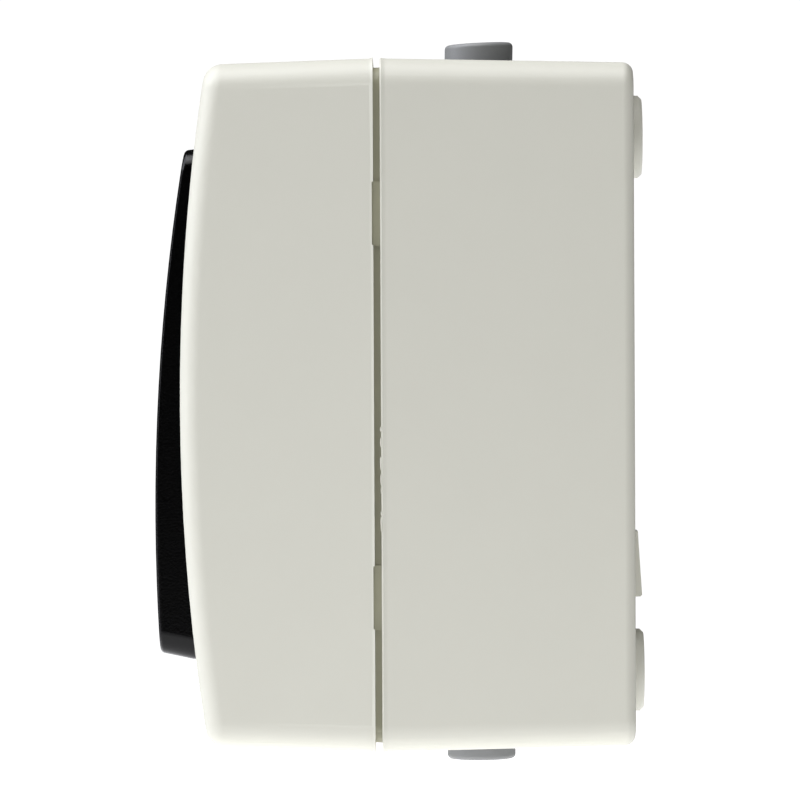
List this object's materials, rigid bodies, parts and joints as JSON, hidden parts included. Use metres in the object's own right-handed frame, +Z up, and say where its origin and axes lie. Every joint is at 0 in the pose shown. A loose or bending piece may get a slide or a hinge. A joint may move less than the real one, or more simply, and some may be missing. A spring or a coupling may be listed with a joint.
{
  "type": "outdoor weatherproof switch",
  "caption": "Surface-mounted weatherproof rocker switch: box and cover with a lap joint, bent black rocker, rubber cable grommets and a change-over insert.",
  "frame": {"origin": "centre of the four wall screws, on the wall plane that the feet touch", "axes": "+Z up, front faces -Y, +Y points into the wall, X across"},
  "size_m": [0.0662, 0.0533, 0.0813],
  "materials": {
    "cream_shell": "satin moulded",
    "black_rocker": "satin moulded",
    "grey_rubber": "smooth",
    "dark_rubber": "smooth",
    "insert_plastic": "matte",
    "slide_plastic": "smooth",
    "spring_steel": "drawn wire",
    "plated_steel": "zinc plated",
    "terminal_brass": "cut",
    "contact_copper": "stamped",
    "contact_silver": "riveted"
  },
  "bodies": {
    "housing": {"back_box": "cream_shell", "front_cover": "cream_shell", "cable_grommet_top": "grey_rubber", "cable_grommet_bottom": "grey_rubber", "housing_gasket": "dark_rubber", "insert_seal": "dark_rubber", "insert_base": "insert_plastic", "insert_cap": "insert_plastic", "insert_screws": "plated_steel", "cap_screws": "plated_steel", "terminal_screws": "plated_steel", "terminal_upper": "terminal_brass", "terminal_lower": "terminal_brass", "terminal_common": "terminal_brass", "fixed_contact_upper": "contact_copper", "fixed_contact_lower": "contact_copper", "fixed_contact_tips": "contact_silver", "lever_support": "contact_copper"},
    "rocker": {"rocker": "black_rocker", "actuator_cradle": "slide_plastic", "plunger_spring": "spring_steel"},
    "plunger": {"plunger": "slide_plastic"},
    "lever": {"contact_lever": "contact_copper", "moving_contact_tips": "contact_silver"}
  },
  "joints": [
    {"name": "rocker_tilt", "type": "hinge", "parent": "housing", "child": "rocker", "pos_m": [0, -0.0436, 0], "axis": [1, 0, 0], "range_deg": [0, 6]},
    {"name": "plunger_slide", "type": "slide", "parent": "rocker", "child": "plunger", "axis": [0, -0.9986, 0.0523], "range_m": [0, 0.0008], "stiffness_N_per_m": 300, "springref_m": -0.003, "deforming": ["plunger_spring"]},
    {"name": "lever_rock", "type": "hinge", "parent": "housing", "child": "lever", "pos_m": [0, -0.02715, 0], "axis": [1, 0, 0], "range_deg": [-10, 0]}
  ],
  "couplings": [
    {"joint": "lever_rock", "follows": "rocker_tilt", "ratio": -1.6667}
  ]
}
